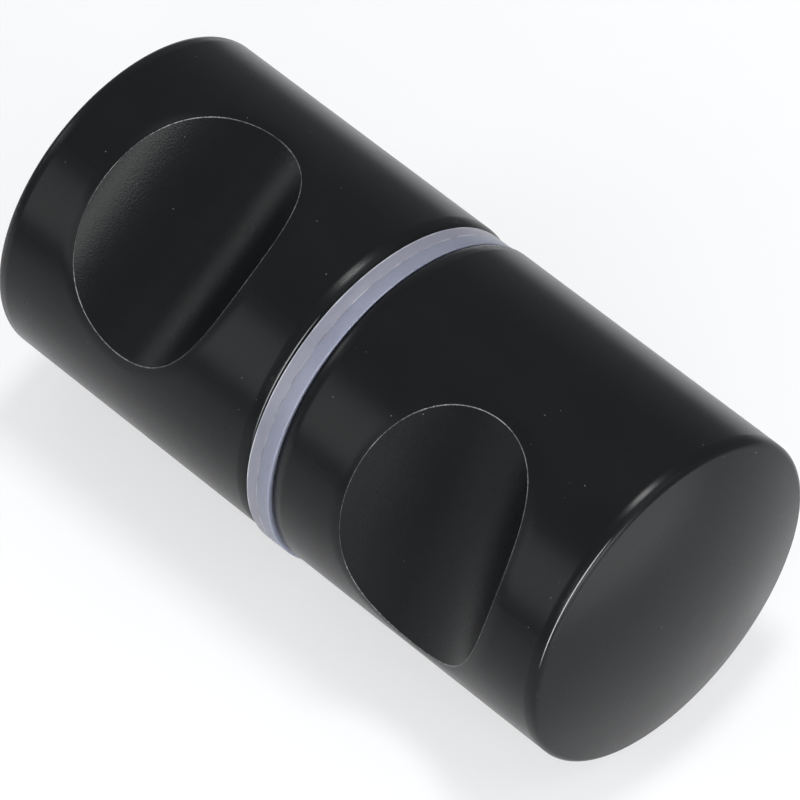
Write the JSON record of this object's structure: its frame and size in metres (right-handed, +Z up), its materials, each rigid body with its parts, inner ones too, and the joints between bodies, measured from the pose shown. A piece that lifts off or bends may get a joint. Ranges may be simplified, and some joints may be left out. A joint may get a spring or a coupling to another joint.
{
  "type": "shower door handle",
  "caption": "Back-to-back round knob set for a glass shower door: satin black turned knobs with finger scoops and domed ends, clamped together through soft clear gaskets.",
  "frame": {"origin": "on the knobs' common axis where the two gaskets meet, which is the centre of the door's hole", "axes": "+Y along the knobs' axis from the outer knob to the inner knob, +Z up"},
  "size_m": [0.0302, 0.0658, 0.0302],
  "materials": {
    "black_finish": "satin",
    "clear_gasket": "satin",
    "zinc_plated_steel": "satin",
    "clear_sleeve": "satin"
  },
  "bodies": {
    "root": {"knob_front": "black_finish", "knob_rear": "black_finish", "gasket_front": "clear_gasket", "gasket_rear": "clear_gasket", "stud": "zinc_plated_steel", "sleeve": "clear_sleeve"}
  },
  "joints": []
}
